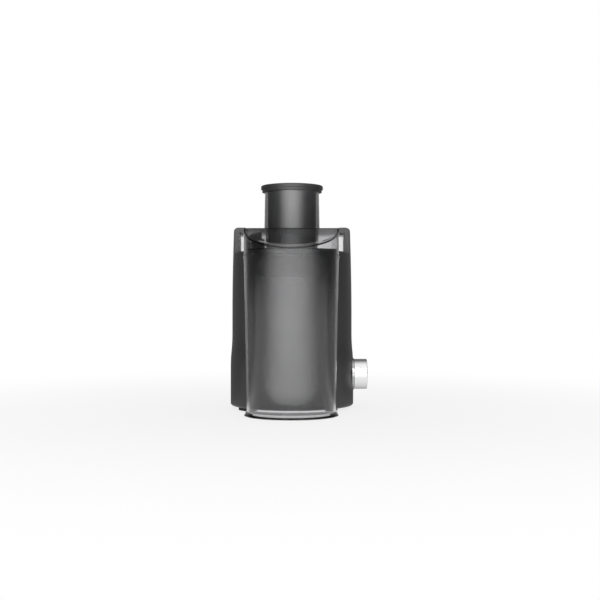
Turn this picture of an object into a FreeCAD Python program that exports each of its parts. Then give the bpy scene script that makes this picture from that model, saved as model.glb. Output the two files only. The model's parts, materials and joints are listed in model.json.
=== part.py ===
"""Centrifugal juicer with a side pulp bin, two side locking clips and a clear lid.

Units are millimetres and +Z is up. The pieces are built about the motor axis: the knob faces -Y, the
pulp bin stands on the -X side and the juice spout leaves on the +X side. When the pieces are written,
they are moved so that the origin lies on the table, under the centre of the whole outline.
"""

import FreeCAD, Part
import math
import os

V = FreeCAD.Vector

# ---------------------------------------------------------------- clearances
RUN_FIT = 0.05  # radial clearance of a shaft or pin in its bearing
HOLE_FIT = 0.1  # radial clearance of a fixed screw or pin in its hole
SEAT_GAP = 0.3  # gap of a piece that rests on another body
SLIDE_GAP = 0.6  # gap beside a piece that swings or slides
SHAFT_HOLE_GAP = 1.0  # radial gap of a plain hole that a shaft passes through
OVER = 1.0  # how far a cutting solid runs past the face it cuts, and a joined one into its neighbour
BIG = 400.0  # longer than the whole machine, for cuts that run right through

# ---------------------------------------------------------------- the chain of radii, from the bowl outwards
BOWL_R = 72.0
BOWL_GAP = 4.6  # gap between the bowl and the walls of the clips' pockets
POCKET_WALL = 2.0
CLIP_DEPTH = 12.2  # depth of a clip, from its inner face to the outside of the machine
SKIRT_FLARE = 2.5  # how much wider the foot of the housing is than its middle
SHOULDER_BEND = 0.1  # where the inward curve above the middle starts to lean in
SHOULDER_LEAN = 2.5  # how far that curve has leaned in at the top of the clips

CLIP_INNER_Y = BOWL_R + BOWL_GAP + POCKET_WALL + SLIDE_GAP
WAIST_R = CLIP_INNER_Y + CLIP_DEPTH
SKIRT_R = WAIST_R + SKIRT_FLARE
SHOULDER_R = WAIST_R - SHOULDER_BEND
CLIP_TOP_R = WAIST_R - SHOULDER_LEAN

# ---------------------------------------------------------------- motor housing
SKIRT_TOP = 60.0
FLARE_TOP = 115.0
SHOULDER_START = 150.0
SHOULDER_MID = 205.0
HOUSING_BOTTOM = 4.0  # height of the base above the table
HOUSING_TOP = 234.4
HOUSING_WALL = 3.0
HOUSING_EDGE = 3.5  # rounding of the bottom edge
DECK_Z = 158.5  # underside of the floor between the motor bay and the bowl bay
DECK_T = 3.5
LEDGE_W = 6.0  # width of the ledge that the base plate seats on
LEDGE_T = 3.0

# ---------------------------------------------------------------- base plate, feet and their screws
PLATE_INSET = 7.9  # the plate's edge, in from the side of the housing
PLATE_T = 3.0
VENT_COUNT = 20
VENT_W = 3.0
VENT_IN, VENT_OUT = 14.0, 40.0
SCREW_R = 1.6
SCREW_HEAD_R = 3.5
SCREW_HEAD_T = 1.8
SCREW_LENGTH = 14.0
SCREW_INSET = 9.0  # the screws, in from the plate's edge
SCREW_BOSS_R = 5.0
SCREW_BOSS_TOP = 26.0
BACK_FOOT_R, BACK_FOOT_DEG = 13.5, 54.3
FRONT_FOOT_R, FRONT_FOOT_DEG = 9.0, 49.7
BACK_FOOT_INSET, FRONT_FOOT_INSET = 12.6, 16.6  # the feet's centres, in from the side of the housing

# ---------------------------------------------------------------- knob, bezel and rotary switch
KNOB_Z = 51.0
KNOB_R = 23.0
KNOB_LENGTH = 19.6
KNOB_EDGE = 1.2
KNOB_SHAFT_R = 3.0
BEZEL_R = 24.5
BEZEL_T = 2.8
BEZEL_SEAT = 2.3  # depth of the flat that the bezel lies in
BOSS_R = 28.0
BOSS_T = 6.0
SWITCH_W, SWITCH_H, SWITCH_T = 26.0, 24.0, 20.0
SWITCH_SHAFT_DEPTH = 12.0
POINTER_W, POINTER_T, POINTER_LENGTH = 2.0, 0.5, 13.0

# ---------------------------------------------------------------- bowl, lid and chute
BOWL_WALL = 2.4
BOWL_FLOOR_T = 2.5
BOWL_FLANGE_INSET = 2.0  # the bowl's rim, in from the side of the housing's middle
BOWL_FLANGE_T = 2.4
CHIMNEY_R = 15.5
CHIMNEY_WALL = 2.2
CHIMNEY_TOP = 176.0
GUIDE_INSET = 5.6  # the raised pulp guide on the bowl's rim, in from the bowl's outside
GUIDE_T = 2.4
GUIDE_START, GUIDE_END = 43.0, 136.0  # its two ends, in degrees about the motor axis
GUIDE_LOW, GUIDE_HIGH = 260.5, 264.2  # height of its top edge at X = 0 and at its outer end
SEAL_T = 1.8
LID_LAP = 0.2  # how far the lid's drum stands outside the bowl
LID_TOP = 267.0
LID_WALL = 2.2
LID_EDGE = 2.0
LID_FLOOR_T = 2.0
CHUTE_BORE_R = 38.4
CHUTE_TOP_R = 41.6
CHUTE_FOOT_R = 42.7
CHUTE_TOP = 329.0
CHUTE_LOWER_R = 40.6
CHUTE_BOTTOM = 194.0
CHUTE_RIB_DEG = 155.0
CHUTE_RIB_T, CHUTE_RIB_OUT, CHUTE_RIB_BOTTOM = 1.6, 3.0, 240.0
SPOUT_R = 13.0
SPOUT_WALL = 2.2
SPOUT_COLLAR_R, SPOUT_COLLAR_T = 15.0, 2.0
SPOUT_Z = 179.5  # height of the spout's axis at the bowl's wall
SPOUT_DROP = 0.12  # fall of the spout per unit of its length
SPOUT_LENGTH = 33.0  # how far the spout stands out of the housing
SPOUT_SLOT_W = 31.0

# ---------------------------------------------------------------- pulp bay of the lid, and the bin under it
BAY_HALF = 67.5  # half width of the lid's bay and of the bin's top
BAY_SIDE = 21.1  # length of the straight sides beyond the housing
BAY_DEPTH = 59.0  # depth of the rounded end
BAY_BOTTOM = 227.4
FOLD_LEAD = 9.0  # the flat top ends this far before the rounded end starts
LIP_END_Z = 239.3  # height of the raised lip at the outer end
ROOF_DROP = 3.6  # depth of the roof under the lip at the outer end
BIN_HALF_BOTTOM = 63.3
BIN_TAPER = 4.0  # how much shorter the bin is at its foot
BIN_BACK_GAP = 1.1  # gap between the housing and the bin's hollow back
BIN_WALL = 2.4
BIN_FLOOR_T = 2.0
BIN_BEAD = 0.9
BIN_BEAD_H = 5.0
BIN_FLARE = 3.9
BIN_FLARE_Z, BIN_FLARE_TOP = 1.2, 6.5
BIN_FLARE_TUCK = 1.6  # how far the flare's underside tucks back in
NOTCH_TOP_HALF, NOTCH_BOTTOM_HALF = 50.4, 37.4
NOTCH_SIDE_Z, NOTCH_BOTTOM_Z = 211.8, 197.5

# ---------------------------------------------------------------- locking clips and interlock
CLIP_HALF = 22.0
CLIP_TOP = 274.0
CLIP_TOP_EDGE = 5.0
HOOK_REACH = 8.4
HOOK_BOTTOM = 266.1
EAR_T = 3.2  # thickness of the lid's ear under each hook
CLIP_AXIS_IN = 6.3  # the pivot, out from the clip's inner face
CLIP_AXIS_Z = 128.0
CLIP_EYE_R = 5.6
CLIP_FOOT_R = 8.2  # the clip's lower end, outside its pivot
CLIP_RIM = 3.0
CLIP_WALL = 3.2
CLIP_HOLLOW_BOTTOM, CLIP_HOLLOW_TOP = 142.0, 256.0
CLIP_PIN_R = 2.0
POCKET_SIDE_GAP = 1.0
PLUNGER_R = 2.2
PLUNGER_RISE = 8.0  # height of the plunger above the clip's pivot
PLUNGER_LENGTH = 13.0
PLUNGER_COLLAR_R, PLUNGER_COLLAR_T = 4.0, 2.0
PLUNGER_TAIL = 2.0  # length of the plunger behind its collar
MICRO_W, MICRO_H, MICRO_T = 20.0, 16.0, 9.0

# ---------------------------------------------------------------- pusher
PUSHER_R = 37.6
PUSHER_WALL = 2.5
PUSHER_BOTTOM = 198.0
PUSHER_GROOVE_Z, PUSHER_GROOVE_H, PUSHER_GROOVE_DEPTH = 253.2, 1.6, 0.8
CAP_R = 47.5
CAP_LOWER_R = 45.7
CAP_LOWER_T, CAP_UPPER_T = 4.3, 5.3
CAP_EDGE = 1.4
CAP_SPIGOT = 5.0

# ---------------------------------------------------------------- motor
SHAFT_R = 4.0
SHAFT_BOTTOM = 20.0
STACK_Z0, STACK_LENGTH = 62.0, 40.0
STATOR_R, STATOR_BORE_R = 44.0, 24.6
AIR_GAP = 0.9
COIL_IN, COIL_OUT = 26.5, 31.5
COIL_HALF_ANGLE, COIL_BAR_ANGLE = 76.0, 14.0
COIL_OVERHANG = 12.0
COIL_END_T = 9.0
COIL_GAP = 0.4
COIL_GAP_DEG = 1.0
ROTOR_SLOTS, ROTOR_SLOT_R, ROTOR_SLOT_RING = 12, 1.8, 20.0
ROTOR_WIRE_R = 1.6
ROTOR_END_IN, ROTOR_END_T = 8.0, 7.0
COMMUTATOR_R, COMMUTATOR_Z0, COMMUTATOR_LENGTH = 12.0, 114.0, 14.0
COMMUTATOR_SLIT_W, COMMUTATOR_SLIT_DEPTH = 0.6, 1.0
FAN_R, FAN_HUB_R, FAN_Z, FAN_T, FAN_DISC_T, FAN_BLADES = 36.0, 9.0, 26.0, 10.0, 1.5, 12
FAN_BLADE_INSET = 1.0  # the blades end this far inside the edge of the disc
BRACKET_R, BRACKET_T = 43.0, 4.0
LOWER_BRACKET_Z, UPPER_BRACKET_Z = 44.0, 138.0
BEARING_R, BEARING_T, BEARING_RIM = 9.0, 10.0, 3.5
COLUMN_RING, COLUMN_R = 38.0, 4.0
BOLT_R, BOLT_HEAD_R, BOLT_HEAD_T = 2.0, 3.6, 2.4
BRACKET_VENT_R, BRACKET_VENT_RING = 6.0, 24.0
EAR_RING, EAR_R = 54.0, 8.0
MOUNT_R, MOUNT_T = 7.0, 8.0
MOUNT_BOSS_R = 6.0
MOUNT_SCREW_REACH = 6.0
BRUSH_W, BRUSH_H, BRUSH_LENGTH, BRUSH_Z = 5.0, 6.0, 19.0, 118.0
HOLDER_WALL, HOLDER_LENGTH, HOLDER_INNER_X = 2.0, 18.0, 15.5
BRUSH_GAP = 0.3
BRUSH_DEG = 45.0
SHAFT_SEAL_R, SHAFT_SEAL_GAP = 13.0, 0.4

# ---------------------------------------------------------------- spinning filter
COUPLING_R, COUPLING_Z0, COUPLING_LENGTH = 10.0, 166.0, 14.0
COUPLING_TEETH, COUPLING_TOOTH_R = 6, 1.6
HUB_R, HUB_T = 42.0, 3.0
HUB_SKIRT_IN, HUB_SKIRT_WALL, HUB_SKIRT_BOTTOM = 20.0, 2.5, 168.0
GRATER_R, GRATER_T = 38.5, 1.2
TOOTH_ROWS, TOOTH_COUNT, TOOTH_H = 12, 5, 1.5
TOOTH_LENGTH, TOOTH_T = 3.0, 0.8
TOOTH_FIRST, TOOTH_PITCH = 9.0, 6.4
BASKET_BOTTOM_R, BASKET_TOP = 41.0, 233.0
BASKET_T = 0.8
RIM_W, RIM_T = 3.9, 4.0
RIM_LAP = 2.5  # how far the basket's rim stands outside its wall
RIM_GAP = 2.5  # gap between the basket's rim and the pulp guide round it

# ---------------------------------------------------------------- power board and cord gland
BOARD_X, BOARD_Y = -34.0, 34.0
BOARD_W, BOARD_D, BOARD_T = 40.0, 30.0, 1.6
BOARD_POST_R, BOARD_POST_H = 3.0, 6.0
CAPACITOR_W, CAPACITOR_D, CAPACITOR_H = 18.0, 10.0, 5.5
GLAND_DEG, GLAND_Z = 55.0, 30.0
GLAND_R, GLAND_FLANGE_R, GLAND_FLANGE_T, GLAND_BORE_R = 6.0, 8.5, 2.4, 3.4
GLAND_TAIL = 2.0  # length of the gland inside the housing's wall

# ---------------------------------------------------------------- worked out from the values above
PLATE_R = SKIRT_R - PLATE_INSET
SCREW_RING = PLATE_R - SCREW_INSET
BOWL_FLANGE_R = WAIST_R - BOWL_FLANGE_INSET
LID_R = BOWL_R + LID_LAP
GUIDE_R = BOWL_R - GUIDE_INSET
RIM_OUT = GUIDE_R - GUIDE_T - RIM_GAP
RIM_IN = RIM_OUT - RIM_W
BASKET_TOP_R = RIM_OUT - RIM_LAP
SPOUT_REACH = SKIRT_R + SPOUT_LENGTH
BAY_X = -(SKIRT_R + BAY_SIDE)
BAY_OUT = BAY_X - BAY_DEPTH
FOLD_X = BAY_X + FOLD_LEAD
BIN_OUT_BOTTOM = BAY_OUT + BIN_TAPER
BIN_BACK_R = SKIRT_R + BIN_BACK_GAP
HOOK_INNER_Y = CLIP_INNER_Y - HOOK_REACH
CLIP_AXIS_Y = CLIP_INNER_Y + CLIP_AXIS_IN
PLATE_TOP = HOUSING_BOTTOM + PLATE_T
DECK_TOP = DECK_Z + DECK_T
BOWL_RIM = HOUSING_TOP + BOWL_FLANGE_T
LID_BOTTOM = BOWL_RIM + SEAL_T
LID_FLOOR_BOTTOM = BOWL_RIM + SEAT_GAP
LID_FLOOR_TOP = LID_FLOOR_BOTTOM + LID_FLOOR_T
POCKET_HALF = CLIP_HALF + POCKET_SIDE_GAP
POCKET_FLOOR_Y = CLIP_INNER_Y - SLIDE_GAP
POCKET_FOOT_R = CLIP_FOOT_R + SLIDE_GAP
POCKET_BOTTOM = CLIP_AXIS_Z - POCKET_FOOT_R
LEDGE_Z = HOOK_BOTTOM - SEAT_GAP
CAP_BOTTOM = CHUTE_TOP + SEAT_GAP
ROTOR_R = STATOR_BORE_R - AIR_GAP
STACK_Z1 = STACK_Z0 + STACK_LENGTH
COMMUTATOR_Z1 = COMMUTATOR_Z0 + COMMUTATOR_LENGTH
COUPLING_Z1 = COUPLING_Z0 + COUPLING_LENGTH
UPPER_BRACKET_TOP = UPPER_BRACKET_Z + BRACKET_T
BIN_BOTTOM = SEAT_GAP
BIN_TOP = BAY_BOTTOM - SLIDE_GAP
KNOB_FACE_Y = -(SKIRT_R - BEZEL_SEAT + BEZEL_T)
KNOB_BACK_Y = KNOB_FACE_Y - SLIDE_GAP
KNOB_FRONT_Y = KNOB_BACK_Y - KNOB_LENGTH
SWITCH_FRONT_Y = -(SKIRT_R - BEZEL_SEAT) + BOSS_T

# The origin lies under the centre of the outline: bin to spout along X, knob to back along Y.
ORIGIN = V((BAY_OUT - BIN_BEAD + SPOUT_REACH) / 2, (KNOB_FRONT_Y + SKIRT_R) / 2, 0)


# ---------------------------------------------------------------- helpers
def cyl(radius, z0, z1, x=0.0, y=0.0):
    return Part.makeCylinder(radius, z1 - z0, V(x, y, z0))


def tube(outer, inner, z0, z1, x=0.0, y=0.0):
    return cyl(outer, z0, z1, x, y).cut(cyl(inner, z0 - OVER, z1 + OVER, x, y))


def rod(radius, start, end):
    along = end.sub(start)
    return Part.makeCylinder(radius, along.Length, start, along)


def box(x0, x1, y0, y1, z0, z1):
    return Part.makeBox(x1 - x0, y1 - y0, z1 - z0, V(x0, y0, z0))


def prism(points, direction):
    """A solid from a closed outline of points, extruded along a direction."""
    wire = Part.makePolygon(points + [points[0]])
    return Part.Face(wire).extrude(direction)


def sector(outer, inner, z0, z1, start, end):
    """Part of a ring, from one angle to another about Z, in degrees."""
    ring = Part.makeCylinder(outer, z1 - z0, V(0, 0, z0), V(0, 0, 1), end - start)
    ring = ring.cut(cyl(inner, z0 - OVER, z1 + OVER))
    ring.rotate(V(0, 0, 0), V(0, 0, 1), start)
    return ring


def turned(shape, degrees):
    copy = shape.copy()
    copy.rotate(V(0, 0, 0), V(0, 0, 1), degrees)
    return copy


def round_array(shape, count, first=0.0):
    return [turned(shape, first + 360.0 * n / count) for n in range(count)]


def around(radius, degrees):
    angle = math.radians(degrees)
    return radius * math.cos(angle), radius * math.sin(angle)


def fuse_all(shapes):
    return shapes[0].fuse(shapes[1:]).removeSplitter() if len(shapes) > 1 else shapes[0]


def mirrored_y(shape):
    return shape.mirror(V(0, 0, 0), V(0, 1, 0))


def round_edges(shape, radius, wanted):
    return shape.makeFillet(radius, [edge for edge in shape.Edges if wanted(edge)])


def at_height(z):
    """Picks the closed edges that lie level at one height."""
    return lambda edge: abs(edge.BoundBox.ZMin - z) < 1e-4 and abs(edge.BoundBox.ZMax - z) < 1e-4


# ---------------------------------------------------------------- shared outlines
def envelope(inset=0.0):
    """The round body that the housing and the clips share, shrunk by an inset."""
    skirt, waist = SKIRT_R - inset, WAIST_R - inset
    middle = (SKIRT_TOP + FLARE_TOP) / 2
    flare = Part.BezierCurve()
    flare.setPoles([V(skirt, 0, SKIRT_TOP), V(skirt, 0, middle), V(waist, 0, middle), V(waist, 0, FLARE_TOP)])
    top = V(CLIP_TOP_R - inset, 0, CLIP_TOP)
    shoulder = Part.BezierCurve()
    shoulder.setPoles([V(waist, 0, SHOULDER_START), V(SHOULDER_R - inset, 0, SHOULDER_MID), top])
    low, low_axis = V(skirt, 0, HOUSING_BOTTOM), V(0, 0, HOUSING_BOTTOM)
    high_axis = V(0, 0, CLIP_TOP)
    edges = [
        Part.makeLine(low_axis, low),
        Part.makeLine(low, V(skirt, 0, SKIRT_TOP)),
        flare.toShape(),
        Part.makeLine(V(waist, 0, FLARE_TOP), V(waist, 0, SHOULDER_START)),
        shoulder.toShape(),
        Part.makeLine(top, high_axis),
        Part.makeLine(high_axis, low_axis),
    ]
    return Part.Face(Part.Wire(edges)).revolve(V(0, 0, 0), V(0, 0, 1), 360)


def bay_outline(half, out_x, z, root_x):
    """A half-oval outline open towards the housing: straight sides, then two elliptical quarters."""
    corner = math.sqrt(0.5)
    quarters = []
    for start, bend, end in (
        (V(BAY_X, -half, z), V(out_x, -half, z), V(out_x, 0, z)),
        (V(out_x, 0, z), V(out_x, half, z), V(BAY_X, half, z)),
    ):
        quarter = Part.BezierCurve()
        quarter.setPoles([start, bend, end])
        quarter.setWeight(2, corner)
        quarters.append(quarter.toShape())
    root_low, root_high = V(root_x, -half, z), V(root_x, half, z)
    return Part.Wire(
        [Part.makeLine(root_low, V(BAY_X, -half, z))]
        + quarters
        + [Part.makeLine(V(BAY_X, half, z), root_high), Part.makeLine(root_high, root_low)]
    )


def bay_prism(half, out_x, z0, z1, root_x):
    return Part.Face(bay_outline(half, out_x, z0, root_x)).extrude(V(0, 0, z1 - z0))


def bay_loft(low, high, root_x):
    """A solid between two half-oval outlines, each given as (half width, outer X, height)."""
    wires = [bay_outline(half, out_x, z, root_x) for half, out_x, z in (low, high)]
    return Part.makeLoft(wires, True, True)


def above_slope(z_end):
    """Everything above the sloping end of the lid, from the fold down to z_end at the outer end."""
    slope = (z_end - LID_TOP) / (BAY_OUT - FOLD_X)
    far_x = BAY_OUT - BAY_DEPTH
    far_z = LID_TOP + slope * (far_x - FOLD_X)
    start = V(FOLD_X, -BIG / 2, LID_TOP)
    points = [start, V(far_x, -BIG / 2, far_z), V(far_x, -BIG / 2, BIG), V(FOLD_X, -BIG / 2, BIG)]
    return prism(points, V(0, BIG, 0))


# ---------------------------------------------------------------- housing and what is fixed to it
def screw_places():
    return [around(SCREW_RING, 90.0 * n) for n in range(4)]


def mount_places():
    return [around(EAR_RING, 45.0 + 90.0 * n) for n in range(4)]


def gland_line():
    direction = V(*around(1.0, GLAND_DEG), 0)
    return direction, V(0, 0, GLAND_Z)


def motor_housing():
    body = envelope().common(cyl(BIG, HOUSING_BOTTOM - OVER, HOUSING_TOP))
    body = round_edges(body, HOUSING_EDGE, at_height(HOUSING_BOTTOM))
    hollow = envelope(HOUSING_WALL)
    ledge_top = PLATE_TOP + LEDGE_T
    body = body.cut(
        [
            hollow.common(cyl(BIG, ledge_top, DECK_Z)),
            hollow.common(cyl(BIG, DECK_TOP, HOUSING_TOP + OVER)),
            cyl(PLATE_R + SEAT_GAP, HOUSING_BOTTOM - OVER, PLATE_TOP),
            cyl(PLATE_R - LEDGE_W, PLATE_TOP - OVER, ledge_top + OVER),
            cyl(SHAFT_SEAL_R, DECK_Z - OVER, DECK_TOP + OVER),
        ]
    )
    added = []
    pocket_wall_y = POCKET_FLOOR_Y - POCKET_WALL
    outer_half = POCKET_HALF + POCKET_WALL
    pocket = box(-outer_half, outer_half, pocket_wall_y, BIG, POCKET_BOTTOM - POCKET_WALL, HOUSING_TOP)
    pocket = pocket.common(envelope())
    added += [pocket, mirrored_y(pocket)]
    switch_pad = rod(BOSS_R, V(0, SWITCH_FRONT_Y, KNOB_Z), V(0, -SKIRT_R, KNOB_Z)).common(envelope())
    added.append(switch_pad)
    bosses = cyl(BIG, PLATE_TOP, SCREW_BOSS_TOP).common(envelope(HOUSING_WALL / 2))
    for x, y in screw_places():
        reach = V(x, y, 0).normalize().multiply(SKIRT_R)
        web = box(0, SKIRT_R, -SCREW_BOSS_R / 2, SCREW_BOSS_R / 2, PLATE_TOP, SCREW_BOSS_TOP)
        web = turned(web, math.degrees(math.atan2(reach.y, reach.x))).cut(cyl(SCREW_RING, 0, BIG))
        column = cyl(SCREW_BOSS_R, PLATE_TOP, SCREW_BOSS_TOP, x, y)
        added.append(column.fuse(web).common(bosses))
    boss_bottom = UPPER_BRACKET_TOP + MOUNT_T
    added += [cyl(MOUNT_BOSS_R, boss_bottom, DECK_Z + OVER, x, y) for x, y in mount_places()]
    micro_top = CLIP_AXIS_Z + PLUNGER_RISE + MICRO_H / 2
    micro_front = plunger_tail_y() - SEAT_GAP
    added.append(box(-MICRO_W / 2, MICRO_W / 2, micro_front - MICRO_T, micro_front, micro_top, DECK_Z + OVER))
    body = body.fuse(added).removeSplitter()
    notch = box(-POCKET_HALF, POCKET_HALF, POCKET_FLOOR_Y, BIG, CLIP_AXIS_Z, BIG)
    foot_room = rod(
        POCKET_FOOT_R, V(-POCKET_HALF, CLIP_AXIS_Y, CLIP_AXIS_Z), V(POCKET_HALF, CLIP_AXIS_Y, CLIP_AXIS_Z)
    )
    notch = notch.fuse(foot_room.common(box(-BIG, BIG, POCKET_FLOOR_Y, BIG, 0, BIG)))
    bezel_y = -(SKIRT_R - BEZEL_SEAT)
    plunger_z = CLIP_AXIS_Z + PLUNGER_RISE
    pin_end = POCKET_HALF + POCKET_WALL
    outward, gland_start = gland_line()
    removed = [
        notch,
        mirrored_y(notch),
        box(LID_R - POCKET_WALL, BIG, -SPOUT_SLOT_W / 2, SPOUT_SLOT_W / 2, DECK_TOP, BIG),
        rod(BEZEL_R + SEAT_GAP, V(0, bezel_y, KNOB_Z), V(0, -BIG, KNOB_Z)),
        rod(KNOB_SHAFT_R + SHAFT_HOLE_GAP, V(0, SWITCH_FRONT_Y + OVER, KNOB_Z), V(0, -BIG, KNOB_Z)),
        rod(PLUNGER_R + HOLE_FIT, V(0, 0, plunger_z), V(0, BIG, plunger_z)),
        rod(GLAND_R, gland_start, gland_start + outward * BIG),
    ]
    for side in (-1, 1):
        start = V(-pin_end, side * CLIP_AXIS_Y, CLIP_AXIS_Z)
        removed.append(rod(CLIP_PIN_R, start, V(pin_end, side * CLIP_AXIS_Y, CLIP_AXIS_Z)))
    removed += [cyl(SCREW_R + HOLE_FIT, 0, PLATE_TOP + SCREW_LENGTH, x, y) for x, y in screw_places()]
    screw_top = boss_bottom + MOUNT_SCREW_REACH
    removed += [cyl(BOLT_R + HOLE_FIT, boss_bottom - OVER, screw_top + OVER, x, y) for x, y in mount_places()]
    return body.cut(removed)


def base_plate():
    plate = cyl(PLATE_R, HOUSING_BOTTOM, PLATE_TOP)
    posts = []
    for sx in (-1, 1):
        for sy in (-1, 1):
            x = BOARD_X + sx * (BOARD_W / 2 - BOARD_POST_R)
            y = BOARD_Y + sy * (BOARD_D / 2 - BOARD_POST_R)
            posts.append(cyl(BOARD_POST_R, PLATE_TOP - OVER, PLATE_TOP + BOARD_POST_H, x, y))
    plate = plate.fuse(posts)
    slot = box(VENT_IN, VENT_OUT, -VENT_W / 2, VENT_W / 2, 0, PLATE_TOP + OVER)
    removed = [vent for vent in round_array(slot, VENT_COUNT) if vent.common(fuse_all(posts)).Volume == 0]
    for x, y in screw_places():
        removed.append(cyl(SCREW_R + HOLE_FIT, 0, PLATE_TOP + OVER, x, y))
        removed.append(cyl(SCREW_HEAD_R + SEAT_GAP, 0, HOUSING_BOTTOM + SCREW_HEAD_T, x, y))
    return plate.cut(removed)


def base_screws():
    seat = HOUSING_BOTTOM + SCREW_HEAD_T
    screws = []
    for x, y in screw_places():
        head = cyl(SCREW_HEAD_R, HOUSING_BOTTOM + SEAT_GAP / 2, seat, x, y)
        screws.append(head.fuse(cyl(SCREW_R, seat, SCREW_LENGTH, x, y)))
    return screws


def rubber_feet():
    rim = cyl(SKIRT_R - HOUSING_EDGE, 0, HOUSING_BOTTOM)
    feet = []
    for radius, inset, degrees in (
        (BACK_FOOT_R, BACK_FOOT_INSET, BACK_FOOT_DEG),
        (BACK_FOOT_R, BACK_FOOT_INSET, 180 - BACK_FOOT_DEG),
        (FRONT_FOOT_R, FRONT_FOOT_INSET, -FRONT_FOOT_DEG),
        (FRONT_FOOT_R, FRONT_FOOT_INSET, FRONT_FOOT_DEG - 180),
    ):
        x, y = around(SKIRT_R - inset, degrees)
        feet.append(cyl(radius, 0, HOUSING_BOTTOM, x, y).common(rim))
    return feet


def cord_gland():
    outward, start = gland_line()
    inner = start + outward * (SKIRT_R - HOUSING_WALL - GLAND_TAIL)
    face = start + outward * (SKIRT_R + HOLE_FIT)
    flange = rod(GLAND_FLANGE_R, face, face + outward * GLAND_FLANGE_T)
    body = rod(GLAND_R, inner, face + outward * (GLAND_FLANGE_T / 2))
    return flange.fuse(body).cut(rod(GLAND_BORE_R, start, start + outward * BIG)).removeSplitter()


def power_board():
    z = PLATE_TOP + BOARD_POST_H
    top = z + BOARD_T
    x0, y0 = BOARD_X - BOARD_W / 2, BOARD_Y - BOARD_D / 2
    board = box(x0, x0 + BOARD_W, y0, y0 + BOARD_D, z, top)
    capacitor = box(
        BOARD_X - CAPACITOR_W / 2,
        BOARD_X + CAPACITOR_W / 2,
        BOARD_Y,
        BOARD_Y + CAPACITOR_D,
        top,
        top + CAPACITOR_H,
    )
    return [board, capacitor]


def knob_bezel():
    back = -(SKIRT_R - BEZEL_SEAT)
    ring = rod(BEZEL_R, V(0, back, KNOB_Z), V(0, back - BEZEL_T, KNOB_Z))
    return ring.cut(rod(KNOB_SHAFT_R + SHAFT_HOLE_GAP, V(0, 0, KNOB_Z), V(0, -BIG, KNOB_Z)))


def control_knob():
    knob = rod(KNOB_R, V(0, KNOB_BACK_Y, KNOB_Z), V(0, KNOB_FRONT_Y, KNOB_Z))
    knob = round_edges(knob, KNOB_EDGE, lambda edge: edge.BoundBox.YMax < KNOB_FRONT_Y + 1e-4)
    bore_end = KNOB_BACK_Y - KNOB_LENGTH / 2
    return knob.cut([rod(KNOB_SHAFT_R, V(0, 0, KNOB_Z), V(0, bore_end, KNOB_Z)), knob_pointer()])


def knob_shaft():
    inner = SWITCH_FRONT_Y + SWITCH_SHAFT_DEPTH
    return rod(KNOB_SHAFT_R, V(0, inner, KNOB_Z), V(0, KNOB_BACK_Y - KNOB_LENGTH / 2, KNOB_Z))


def knob_pointer():
    y0 = KNOB_FRONT_Y
    z1 = KNOB_Z + KNOB_R - KNOB_EDGE
    return box(-POINTER_W / 2, POINTER_W / 2, y0, y0 + POINTER_T, z1 - POINTER_LENGTH, z1)


def rotary_switch():
    y0 = SWITCH_FRONT_Y
    body = box(-SWITCH_W / 2, SWITCH_W / 2, y0, y0 + SWITCH_T, KNOB_Z - SWITCH_H / 2, KNOB_Z + SWITCH_H / 2)
    hole_end = y0 + SWITCH_SHAFT_DEPTH + SEAT_GAP
    return body.cut(rod(KNOB_SHAFT_R + RUN_FIT, V(0, hole_end, KNOB_Z), V(0, -BIG, KNOB_Z)))


# ---------------------------------------------------------------- clips and interlock
def locking_clip():
    """The clip on the +Y side: a long leg on a pivot, with a hook over the lid's ledge."""
    x = CLIP_HALF
    leg = box(-x, x, CLIP_INNER_Y, BIG, CLIP_AXIS_Z, CLIP_TOP)
    hook = box(-x, x, HOOK_INNER_Y, CLIP_INNER_Y + OVER, HOOK_BOTTOM, CLIP_TOP)
    body = round_edges(envelope(), CLIP_TOP_EDGE, at_height(CLIP_TOP))
    clip = leg.fuse(hook).common(body)
    left, right = V(-x, CLIP_AXIS_Y, CLIP_AXIS_Z), V(x, CLIP_AXIS_Y, CLIP_AXIS_Z)
    foot = rod(CLIP_FOOT_R, left, right).common(box(-x, x, CLIP_AXIS_Y, BIG, 0, CLIP_AXIS_Z))
    end = rod(CLIP_EYE_R, left, right).fuse(foot).common(envelope())
    clip = clip.fuse(end).removeSplitter()
    inner = x - CLIP_RIM
    hollow = box(-inner, inner, 0, BIG, CLIP_HOLLOW_BOTTOM, CLIP_HOLLOW_TOP).common(envelope(CLIP_WALL))
    bore = rod(CLIP_PIN_R + RUN_FIT, V(-BIG, CLIP_AXIS_Y, CLIP_AXIS_Z), V(BIG, CLIP_AXIS_Y, CLIP_AXIS_Z))
    return clip.cut([hollow, bore])


def clip_pins():
    end = POCKET_HALF + POCKET_WALL
    return [
        rod(CLIP_PIN_R, V(-end, side * CLIP_AXIS_Y, CLIP_AXIS_Z), V(end, side * CLIP_AXIS_Y, CLIP_AXIS_Z))
        for side in (-1, 1)
    ]


def plunger_tip_y():
    return CLIP_INNER_Y - SEAT_GAP


def plunger_tail_y():
    return plunger_tip_y() - PLUNGER_LENGTH


def interlock_plunger():
    z = CLIP_AXIS_Z + PLUNGER_RISE
    ball_y = plunger_tip_y() - PLUNGER_R
    tail = plunger_tail_y()
    pin = rod(PLUNGER_R, V(0, tail, z), V(0, ball_y, z)).fuse(Part.makeSphere(PLUNGER_R, V(0, ball_y, z)))
    collar_y = tail + PLUNGER_TAIL
    collar = rod(PLUNGER_COLLAR_R, V(0, collar_y, z), V(0, collar_y + PLUNGER_COLLAR_T, z))
    return pin.fuse(collar).removeSplitter()


def interlock_switch():
    z = CLIP_AXIS_Z + PLUNGER_RISE
    y1 = plunger_tail_y() - SEAT_GAP
    return box(-MICRO_W / 2, MICRO_W / 2, y1 - MICRO_T, y1, z - MICRO_H / 2, z + MICRO_H / 2)


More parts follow.
